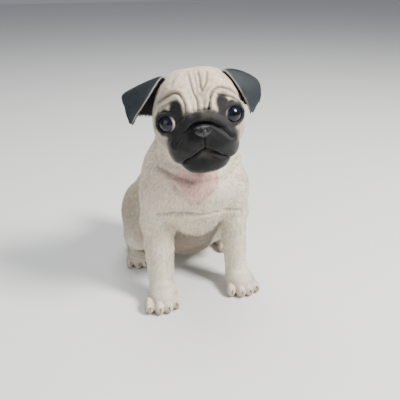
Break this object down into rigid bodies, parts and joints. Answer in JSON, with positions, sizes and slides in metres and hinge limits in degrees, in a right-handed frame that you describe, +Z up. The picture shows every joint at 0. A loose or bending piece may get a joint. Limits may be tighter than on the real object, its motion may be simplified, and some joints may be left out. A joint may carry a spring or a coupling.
{
  "type": "pug puppy model",
  "caption": "Life-size still model of a sitting fawn pug puppy with a black mask, folded ears and a curled tail, its head turned to look up.",
  "frame": {"origin": "on the floor under the middle of the figure's box", "axes": "+Z up, the body faces -Y, its left side is +X"},
  "size_m": [0.1382, 0.2004, 0.2157],
  "materials": {
    "fawn": "matte",
    "cream": "matte",
    "black_mask": "matte",
    "ear_charcoal": "satin",
    "nose_leather": "gloss",
    "eye_dark": "gloss"
  },
  "bodies": {
    "root": {"neck": "fawn", "foreleg_right": "cream", "forepaw_right": "cream", "thigh_right": "fawn", "hindpaw_right": "cream", "foreleg_left": "cream", "forepaw_left": "cream", "thigh_left": "fawn", "hindpaw_left": "cream", "chest": "fawn", "rump": "fawn", "abdomen": "fawn", "tail_base": "fawn", "tail_curl": "fawn", "head": "fawn", "muzzle": "black_mask", "nose": "nose_leather", "lower_jaw": "black_mask", "ear_left": "ear_charcoal", "ear_right": "ear_charcoal", "eye_left": "eye_dark", "eye_right": "eye_dark"}
  },
  "joints": []
}
